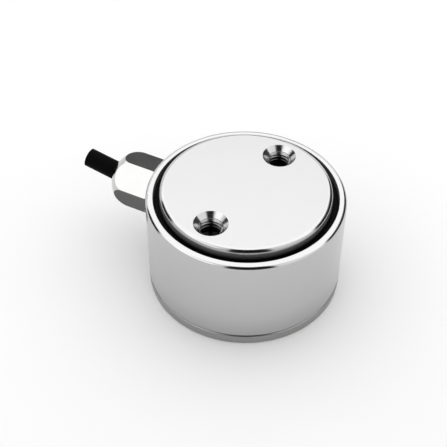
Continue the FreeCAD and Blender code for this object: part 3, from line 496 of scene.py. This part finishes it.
shader = add_node(tree, "ShaderNodeBsdfPrincipled", {
    "Base Color": tone.outputs["Result"], "Metallic": 1.0, "Roughness": haze.outputs["Value"],
    "Normal": relief.outputs["Normal"]})
add_node(tree, "ShaderNodeOutputMaterial", {"Surface": shader.outputs["BSDF"]})
dress(sleeve_steel, "housing_sleeve")

# Weld seam: one pass of a laser round the joint of sleeve and flange, low in the groove between
# their chamfers. It sets as a chain of small overlapping scales.

SEAM_RADIUS = 24.78 * MM
SEAM_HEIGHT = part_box("housing_sleeve")[0][2]
SEAM_HALF_WIDTH = 0.13 * MM
SEAM_LOWEST_SHARE = 0.55
SEAM_RISE_SHARE = 0.35
SEAM_SCALES = 240
SEAM_STEPS_PER_SCALE = 6
SEAM_STEPS_ACROSS = 10


def weld_scales():
    """Points of the seam: a ring whose section is an ellipse. Its radial half-axis rises along
    each scale as a quarter of a sine turn, then drops back where the next scale laps over it."""
    steps_round = SEAM_SCALES * SEAM_STEPS_PER_SCALE
    angle = np.linspace(0, 2 * np.pi, steps_round, endpoint=False)[:, None]
    around = np.linspace(0, 2 * np.pi, SEAM_STEPS_ACROSS, endpoint=False)[None, :]
    along_scale = (angle * SEAM_SCALES / (2 * np.pi)) % 1.0
    swell = SEAM_LOWEST_SHARE + SEAM_RISE_SHARE * np.sin(along_scale * np.pi / 2)
    radii = SEAM_RADIUS + SEAM_HALF_WIDTH * swell * np.cos(around)
    heights = SEAM_HEIGHT - SEAM_HALF_WIDTH * np.sin(around) * np.ones_like(angle)
    return np.stack([radii * np.cos(angle), radii * np.sin(angle), heights], -1)


# Laser-welded steel: brushed clean of its scale, dark grey with a breath of straw and blue tint.
welded_steel, tree, place = start_material("laser_welded_steel")
tint = add_node(tree, "ShaderNodeTexNoise", {
    "Vector": place, "Scale": 1 / (3 * MM), "Detail": 2.0})
tone = add_node(tree, "ShaderNodeMix", {
    "Factor": tint.outputs["Fac"], "A": linear("#3C3A36"), "B": linear("#46474A")},
    data_type="RGBA")
haze = add_node(tree, "ShaderNodeMapRange", {
    "Value": tint.outputs["Fac"], "To Min": 0.26, "To Max": 0.40})
shader = add_node(tree, "ShaderNodeBsdfPrincipled", {
    "Base Color": tone.outputs["Result"], "Metallic": 1.0, "Roughness": haze.outputs["Result"]})
add_node(tree, "ShaderNodeOutputMaterial", {"Surface": shader.outputs["BSDF"]})
closed_piece("weld_seam", weld_scales(), welded_steel)

# Gap seal: a soft ring of silicone poured into the groove between platform and sleeve, which
# keeps dirt out and lets the platform sink under load.

# Cured silicone: near black, with a slack satin skin and a little dust.
seal_rubber, tree, place = start_material("black_silicone")
skin = add_node(tree, "ShaderNodeTexNoise", {
    "Vector": place, "Scale": 1 / (1.6 * MM), "Detail": 3.0})
tone = add_node(tree, "ShaderNodeMix", {
    "Factor": skin.outputs["Fac"], "A": linear("#030303"), "B": linear("#080808")},
    data_type="RGBA")
haze = add_node(tree, "ShaderNodeMapRange", {
    "Value": skin.outputs["Fac"], "To Min": 0.50, "To Max": 0.68})
relief = add_node(tree, "ShaderNodeBump", {
    "Strength": 0.4, "Distance": 0.05 * MM, "Height": skin.outputs["Fac"]})
shader = add_node(tree, "ShaderNodeBsdfPrincipled", {
    "Base Color": tone.outputs["Result"], "Roughness": haze.outputs["Result"],
    "Specular IOR Level": 0.1, "Normal": relief.outputs["Normal"]})
add_node(tree, "ShaderNodeOutputMaterial", {"Surface": shader.outputs["BSDF"]})
dress(seal_rubber, "gap_seal")

# Cable nipple and thrust washer: the nipple is turned from stainless bar and its spigot is
# welded into the sleeve's port. The washer lies in the nut, between it and the rubber bush.

OUTLET_HEIGHT = np.mean([corner[2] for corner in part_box("gland_washer")])

# Turned stainless steel: fine bright lines of the lathe about the outlet, drawn at 0.2 mm.
turned_steel, tree, place = start_material("turned_stainless_steel")
outlet = add_node(tree, "ShaderNodeMapping", {
    "Vector": place, "Location": (0, 0, -OUTLET_HEIGHT), "Rotation": (0, 0, -OUTLET_TURN)})
axes = add_node(tree, "ShaderNodeSeparateXYZ", {"Vector": outlet.outputs["Vector"]})
lines = add_node(tree, "ShaderNodeTexNoise", {
    "W": axes.outputs["X"], "Scale": 1 / (0.2 * MM), "Detail": 1.0}, noise_dimensions="1D")
tone = add_node(tree, "ShaderNodeMix", {
    "Factor": lines.outputs["Fac"], "A": linear("#B8B8B8"), "B": linear("#C7C7C7")},
    data_type="RGBA")
haze = add_node(tree, "ShaderNodeMapRange", {
    "Value": lines.outputs["Fac"], "To Min": 0.16, "To Max": 0.28})
relief = add_node(tree, "ShaderNodeBump", {
    "Strength": 0.3, "Distance": 0.006 * MM, "Height": lines.outputs["Fac"]})
shader = add_node(tree, "ShaderNodeBsdfPrincipled", {
    "Base Color": tone.outputs["Result"], "Metallic": 1.0, "Roughness": haze.outputs["Result"],
    "Normal": relief.outputs["Normal"]})
add_node(tree, "ShaderNodeOutputMaterial", {"Surface": shader.outputs["BSDF"]})
dress(turned_steel, "cable_nipple", "gland_washer")

# Gland bush: a short tube of rubber, moulded to fit the nipple. The nut squeezes it about the
# cable, which holds the cable and keeps water out.

# Moulded nitrile rubber: dull charcoal with a fine eroded skin from its mould.
bush_rubber, tree, place = start_material("moulded_nitrile_rubber")
skin = add_node(tree, "ShaderNodeTexNoise", {
    "Vector": place, "Scale": 1 / (0.25 * MM), "Detail": 2.0})
tone = add_node(tree, "ShaderNodeMix", {
    "Factor": skin.outputs["Fac"], "A": linear("#141414"), "B": linear("#1D1D1D")},
    data_type="RGBA")
relief = add_node(tree, "ShaderNodeBump", {
    "Strength": 0.3, "Distance": 0.02 * MM, "Height": skin.outputs["Fac"]})
shader = add_node(tree, "ShaderNodeBsdfPrincipled", {
    "Base Color": tone.outputs["Result"], "Roughness": 0.7, "Normal": relief.outputs["Normal"]})
add_node(tree, "ShaderNodeOutputMaterial", {"Surface": shader.outputs["BSDF"]})
dress(bush_rubber, "gland_bush")

# Gland nut: cut from hexagon bar of brass, with its nose turned round, and nickel plated. It is
# screwed on the nipple and presses the washer on the bush.

# Nickel plating: bright over flats that keep the faint draw lines of the bar, a little warmer
# and paler than the sleeve. The lines run along the bar and are drawn at 0.2 mm.
nut_metal, tree, place = start_material("nickel_plated_brass")
outlet = add_node(tree, "ShaderNodeMapping", {"Vector": place, "Rotation": (0, 0, -OUTLET_TURN)})
stretched = add_node(tree, "ShaderNodeMapping", {
    "Vector": outlet.outputs["Vector"],
    "Scale": (1 / (12 * MM), 1 / (0.2 * MM), 1 / (0.2 * MM))})
lines = add_node(tree, "ShaderNodeTexNoise", {
    "Vector": stretched.outputs["Vector"], "Scale": 1.0, "Detail": 1.0})
cloud = add_node(tree, "ShaderNodeTexNoise", {
    "Vector": place, "Scale": 1 / (4 * MM), "Detail": 3.0})
tone = add_node(tree, "ShaderNodeMix", {
    "Factor": cloud.outputs["Fac"], "A": linear("#C7C7C6"), "B": linear("#CECECD")},
    data_type="RGBA")
haze = add_node(tree, "ShaderNodeMapRange", {
    "Value": cloud.outputs["Fac"], "To Min": 0.10, "To Max": 0.15})
relief = add_node(tree, "ShaderNodeBump", {
    "Strength": 0.1, "Distance": 0.003 * MM, "Height": lines.outputs["Fac"]})
shader = add_node(tree, "ShaderNodeBsdfPrincipled", {
    "Base Color": tone.outputs["Result"], "Metallic": 1.0, "Roughness": haze.outputs["Result"],
    "Normal": relief.outputs["Normal"]})
add_node(tree, "ShaderNodeOutputMaterial", {"Surface": shader.outputs["BSDF"]})
dress(nut_metal, "gland_nut")

# Cable: a round sheath over a tinned braid and four cores, cut square. It runs through the bush
# and bends a little where it leaves the nut.

# Extruded PVC: matt black with faint streaks of the die along the sheath, drawn at 0.3 mm.
jacket_pvc, tree, place = start_material("extruded_black_pvc")
outlet = add_node(tree, "ShaderNodeMapping", {"Vector": place, "Rotation": (0, 0, -OUTLET_TURN)})
stretched = add_node(tree, "ShaderNodeMapping", {
    "Vector": outlet.outputs["Vector"],
    "Scale": (1 / (10 * MM), 1 / (0.3 * MM), 1 / (0.3 * MM))})
streaks = add_node(tree, "ShaderNodeTexNoise", {
    "Vector": stretched.outputs["Vector"], "Scale": 1.0, "Detail": 2.0})
tone = add_node(tree, "ShaderNodeMix", {
    "Factor": streaks.outputs["Fac"], "A": linear("#030303"), "B": linear("#070707")},
    data_type="RGBA")
haze = add_node(tree, "ShaderNodeMapRange", {
    "Value": streaks.outputs["Fac"], "To Min": 0.52, "To Max": 0.66})
relief = add_node(tree, "ShaderNodeBump", {
    "Strength": 0.25, "Distance": 0.02 * MM, "Height": streaks.outputs["Fac"]})
shader = add_node(tree, "ShaderNodeBsdfPrincipled", {
    "Base Color": tone.outputs["Result"], "Roughness": haze.outputs["Result"],
    "Specular IOR Level": 0.04, "Normal": relief.outputs["Normal"]})
add_node(tree, "ShaderNodeOutputMaterial", {"Surface": shader.outputs["BSDF"]})
dress(jacket_pvc, "cable_jacket")

# Tinned braid: two sets of wires that cross at an angle, eight carriers each way, so the shield
# shows a lattice of pale diamonds with dark corners.
BRAID_CARRIERS = 8
BRAID_LAY = 9.0 * MM
braid, tree, place = start_material("tinned_copper_braid")
outlet = add_node(tree, "ShaderNodeMapping", {
    "Vector": place, "Location": (0, 0, -OUTLET_HEIGHT), "Rotation": (0, 0, -OUTLET_TURN)})
axes = add_node(tree, "ShaderNodeSeparateXYZ", {"Vector": outlet.outputs["Vector"]})
angle = add_node(tree, "ShaderNodeMath", {
    0: axes.outputs["Z"], 1: axes.outputs["Y"]}, operation="ARCTAN2")
turns = add_node(tree, "ShaderNodeMath", {
    0: angle.outputs["Value"], 1: BRAID_CARRIERS}, operation="MULTIPLY")
waves = []
for hand in (1, -1):
    lay = add_node(tree, "ShaderNodeMath", {
        0: axes.outputs["X"], 1: hand * BRAID_CARRIERS * 2 * math.pi / BRAID_LAY,
        2: turns.outputs["Value"]}, operation="MULTIPLY_ADD")
    waves.append(add_node(tree, "ShaderNodeMath", {0: lay.outputs["Value"]}, operation="SINE"))
lattice = add_node(tree, "ShaderNodeMath", {
    0: waves[0].outputs["Value"], 1: waves[1].outputs["Value"]}, operation="MAXIMUM")
cover = add_node(tree, "ShaderNodeMapRange", {
    "Value": lattice.outputs["Value"], "From Min": -0.9, "From Max": 0.2})
tone = add_node(tree, "ShaderNodeMix", {
    "Factor": cover.outputs["Result"], "A": linear("#4A453F"), "B": linear("#BDBAB4")},
    data_type="RGBA")
relief = add_node(tree, "ShaderNodeBump", {
    "Strength": 0.6, "Distance": 0.05 * MM, "Height": cover.outputs["Result"]})
shader = add_node(tree, "ShaderNodeBsdfPrincipled", {
    "Base Color": tone.outputs["Result"], "Metallic": 1.0, "Roughness": 0.32,
    "Normal": relief.outputs["Normal"]})
add_node(tree, "ShaderNodeOutputMaterial", {"Surface": shader.outputs["BSDF"]})
dress(braid, "cable_shield")

# Core insulation: thin extruded PVC in four colours, satin, each a little uneven in its tint.
CORE_TONES = {"red": ("#9E1D1A", "#B52A24"), "black": ("#0C0C0D", "#161617"),
              "green": ("#17632F", "#21793D"), "white": ("#D9D7D1", "#E6E4DF")}
for colour, (dark, pale) in CORE_TONES.items():
    insulation, tree, place = start_material(f"extruded_{colour}_insulation")
    grain = add_node(tree, "ShaderNodeTexNoise", {
        "Vector": place, "Scale": 1 / (0.7 * MM), "Detail": 2.0})
    tone = add_node(tree, "ShaderNodeMix", {
        "Factor": grain.outputs["Fac"], "A": linear(dark), "B": linear(pale)}, data_type="RGBA")
    haze = add_node(tree, "ShaderNodeMapRange", {
        "Value": grain.outputs["Fac"], "To Min": 0.38, "To Max": 0.50})
    shader = add_node(tree, "ShaderNodeBsdfPrincipled", {
        "Base Color": tone.outputs["Result"], "Roughness": haze.outputs["Result"]})
    add_node(tree, "ShaderNodeOutputMaterial", {"Surface": shader.outputs["BSDF"]})
    dress(insulation, f"core_{colour}")

# Studio table: a wide sheet of white board under the part, which keeps its shadow and melts
# into the white of the room far from it.

TABLE_HALF = 1.3
TABLE_TOP = -0.05 * MM
TABLE_CLEAR = 1.2
TABLE_SOLID = 0.6
TABLE_CORNERS = ((-1, -1), (1, -1), (1, 1), (-1, 1))
table_mesh = bpy.data.meshes.new("studio_table")
table_mesh.from_pydata(
    [(x * TABLE_HALF, y * TABLE_HALF, TABLE_TOP) for x, y in TABLE_CORNERS], [], [(0, 1, 2, 3)])
table = bpy.data.objects.new("studio_table", table_mesh)
bpy.context.scene.collection.objects.link(table)

# White card: matt, with the faintest cloud in its coating.
table_card, tree, place = start_material("matt_white_card")
cloud = add_node(tree, "ShaderNodeTexNoise", {
    "Vector": place, "Scale": 1 / (60 * MM), "Detail": 2.0})
tone = add_node(tree, "ShaderNodeMix", {
    "Factor": cloud.outputs["Fac"], "A": linear("#F9F9F9"), "B": linear("#FBFBFB")},
    data_type="RGBA")
reach = add_node(tree, "ShaderNodeVectorMath", {0: place}, operation="LENGTH")
cover = add_node(tree, "ShaderNodeMapRange", {
    "Value": reach.outputs["Value"], "From Min": TABLE_CLEAR, "From Max": TABLE_SOLID})
shader = add_node(tree, "ShaderNodeBsdfPrincipled", {
    "Base Color": tone.outputs["Result"], "Roughness": 0.9, "Specular IOR Level": 0.0,
    "Alpha": cover.outputs["Result"]})
add_node(tree, "ShaderNodeOutputMaterial", {"Surface": shader.outputs["BSDF"]})
table_mesh.materials.append(table_card)

# Camera: a medium lens from above the front, turned as the photograph was taken. Its place and
# its three directions are in the part's own frame.

CAMERA_PLACE = np.array([-149.9229, -97.4995, 194.623]) * MM
CAMERA_RIGHT = np.array([0.574018, -0.818834, 0.003808])
CAMERA_DOWN = np.array([-0.575218, -0.40654, -0.709823])
CAMERA_AHEAD = np.array([0.582775, 0.405261, -0.70437])
camera_data = bpy.data.cameras.new("photo_camera")
camera_data.lens = 79.6086
camera_data.sensor_width = 36.0
camera_data.clip_start = 0.01
camera = bpy.data.objects.new("photo_camera", camera_data)
stance = np.eye(4)
stance[:3] = np.stack([CAMERA_RIGHT, -CAMERA_DOWN, -CAMERA_AHEAD, CAMERA_PLACE], 1)
camera.matrix_world = Matrix(stance.tolist())
bpy.context.scene.collection.objects.link(camera)
bpy.context.scene.camera = camera

# Lamps: a wide softbox overhead and behind, and a smaller one at each side. Bearings are in
# degrees from the camera's own, counter-clockwise seen from above, and sizes are in metres.

CAMERA_BEARING = math.atan2(CAMERA_PLACE[1], CAMERA_PLACE[0])


def add_softbox(name, bearing, height, distance, width, length, tilt, brightness):
    """A rectangular lamp at a bearing, facing the object, with its back raised by the tilt in
    radians. Its power is brightness times pi times its area, so brightness is what a mirror
    shows of it."""
    data = bpy.data.lights.new(name, "AREA")
    data.shape = "RECTANGLE"
    data.size, data.size_y = width, length
    data.energy = brightness * math.pi * width * length
    lamp = bpy.data.objects.new(name, data)
    angle = CAMERA_BEARING + math.radians(bearing)
    outward = np.array([math.cos(angle), math.sin(angle), 0.0])
    upward = np.array([0.0, 0.0, 1.0])
    spot = distance * outward + height * upward
    back = math.cos(tilt) * outward + math.sin(tilt) * upward
    across = np.array([-math.sin(angle), math.cos(angle), 0.0])
    pose = np.eye(4)
    pose[:3] = np.stack([across, np.cross(back, across), back, spot], 1)
    lamp.matrix_world = Matrix(pose.tolist())
    lamp.visible_camera = False
    bpy.context.scene.collection.objects.link(lamp)


add_softbox("top_softbox", bearing=180, height=0.60, distance=0.37, width=1.8, length=0.95,
            tilt=math.pi / 2, brightness=0.62)
add_softbox("left_softbox", bearing=-57, height=0.51, distance=0.55, width=0.50, length=0.32,
            tilt=0.30, brightness=0.72)
add_softbox("right_softbox", bearing=62, height=0.34, distance=0.55, width=0.60, length=0.66,
            tilt=0.30, brightness=0.20)

# Black cards: curved screens about the table and a small level one close beside the gland, which
# only polished metal shows. They are painted reflections, dim glowing sheets that draw the dark
# lines along its rounded edges and darken two flats of the nut; the one beside the gland stands
# in for shade under the nut.

CARD_DISTANCE = 0.8
CARD_STEPS = 24
CARD_MOTTLE = 0.05
GLAND_CARD_ALONG = (26 * MM, 41 * MM)
GLAND_CARD_ASIDE = (4.8 * MM, 9.6 * MM)
GLAND_CARD_HEIGHT = 13 * MM


def upright(bottom, top, low, high):
    """Points of a screen between two elevations, whose bottom and top each run between two
    bearings, all in degrees. They stand on a circle, at a height of the circle's radius times
    the tangent of the elevation."""
    degrees = [np.linspace(*bottom, CARD_STEPS), np.linspace(*top, CARD_STEPS)]
    bearing = CAMERA_BEARING + np.radians(degrees)
    height = np.tan(np.radians([low, high]))[:, None] * np.ones_like(bearing)
    return CARD_DISTANCE * np.stack([np.cos(bearing), np.sin(bearing), height], -1)


def beside_gland():
    """Points of a level sheet: steps along the outlet's axis and aside from it, turned with the
    outlet, at one height."""
    axis = np.array([math.cos(OUTLET_TURN), math.sin(OUTLET_TURN), 0.0])
    aside = np.array([-math.sin(OUTLET_TURN), math.cos(OUTLET_TURN), 0.0])
    return (np.array(GLAND_CARD_ALONG)[None, :, None] * axis
            + np.array(GLAND_CARD_ASIDE)[:, None, None] * aside
            + np.array([0.0, 0.0, GLAND_CARD_HEIGHT]))


def add_card(name, points, brightness, soft):
    """A screen from two rows of points, which only reflections show. It thins out to nothing over
    the soft share of the way from its edges to its middle."""
    steps = points.shape[1]
    start = np.arange(steps - 1)
    faces = np.stack([start, start + 1, start + 1 + steps, start + steps], -1)
    mesh = bpy.data.meshes.new(name)
    mesh.from_pydata(points.reshape(-1, 3).tolist(), [], faces.tolist())
    across = np.stack(np.meshgrid(np.linspace(-1, 1, steps), (-1, 1)), -1).reshape(-1, 2)
    mesh.uv_layers.new(name="across").uv.foreach_set("vector", across[faces].ravel())
    # Painted reflection: a dim glow that only mirrors show, nearly black, with a faint mottle.
    reflected_glow, tree, place = start_material(f"{name}_paper")
    cloud = add_node(tree, "ShaderNodeTexNoise", {"Vector": place, "Scale": 1 / (90 * MM)})
    level = add_node(tree, "ShaderNodeMapRange", {
        "Value": cloud.outputs["Fac"], "To Min": (1 - CARD_MOTTLE) * brightness,
        "To Max": (1 + CARD_MOTTLE) * brightness})
    glow = add_node(tree, "ShaderNodeEmission", {"Strength": level.outputs["Result"]})
    own_place = add_node(tree, "ShaderNodeUVMap", uv_map="across")
    spread = add_node(tree, "ShaderNodeVectorMath", {
        0: own_place.outputs["UV"]}, operation="ABSOLUTE")
    axes = add_node(tree, "ShaderNodeSeparateXYZ", {"Vector": spread.outputs["Vector"]})
    outward = add_node(tree, "ShaderNodeMath", {
        0: axes.outputs["X"], 1: axes.outputs["Y"]}, operation="MAXIMUM")
    cover = add_node(tree, "ShaderNodeMapRange", {
        "Value": outward.outputs["Value"], "From Min": 1.0, "From Max": 1.0 - soft})
    clear = add_node(tree, "ShaderNodeBsdfTransparent")
    screen = add_node(tree, "ShaderNodeMixShader", {
        "Fac": cover.outputs["Result"], 1: clear.outputs["BSDF"], 2: glow.outputs["Emission"]})
    add_node(tree, "ShaderNodeOutputMaterial", {"Surface": screen.outputs["Shader"]})
    mesh.materials.append(reflected_glow)
    card = bpy.data.objects.new(name, mesh)
    card.visible_camera = card.visible_diffuse = card.visible_shadow = False
    card.visible_transmission = card.visible_volume_scatter = False
    bpy.context.scene.collection.objects.link(card)


add_card("front_card", upright(bottom=(-18, 30), top=(-40, 55), low=-8, high=78),
         brightness=0.012, soft=0.14)
add_card("left_card", upright(bottom=(-120, -89), top=(-134, -106), low=-4, high=44),
         brightness=0.03, soft=0.12)
add_card("right_card", upright(bottom=(82, 150), top=(98, 154), low=-4, high=44),
         brightness=0.04, soft=0.12)
add_card("back_card", upright(bottom=(170, 190), top=(170, 190), low=8, high=22),
         brightness=0.10, soft=0.2)
add_card("gland_card", beside_gland(), brightness=0.19, soft=0.2)

# Room: painted white all round, so it is white to the eye and in reflections. On what is matt it
# throws a dim even light from every side.

ROOM_LIGHT = 0.75
room = bpy.data.worlds.new("studio_room")
bpy.context.scene.world = room
room.use_nodes = True
tree = room.node_tree
tree.nodes.clear()
ray = add_node(tree, "ShaderNodeLightPath")
mirrored = add_node(tree, "ShaderNodeMath", {
    0: ray.outputs["Is Glossy Ray"], 1: ray.outputs["Is Transmission Ray"]}, operation="MAXIMUM")
seen = add_node(tree, "ShaderNodeMath", {
    0: mirrored.outputs["Value"], 1: ray.outputs["Is Camera Ray"]}, operation="MAXIMUM")
level = add_node(tree, "ShaderNodeMapRange", {
    "Value": seen.outputs["Value"], "To Min": ROOM_LIGHT, "To Max": 1.0})
white = add_node(tree, "ShaderNodeBackground", {
    "Color": linear("#FAFAFA"), "Strength": level.outputs["Result"]})
add_node(tree, "ShaderNodeOutputWorld", {"Surface": white.outputs["Background"]})

bpy.context.scene.view_settings.view_transform = "Standard"
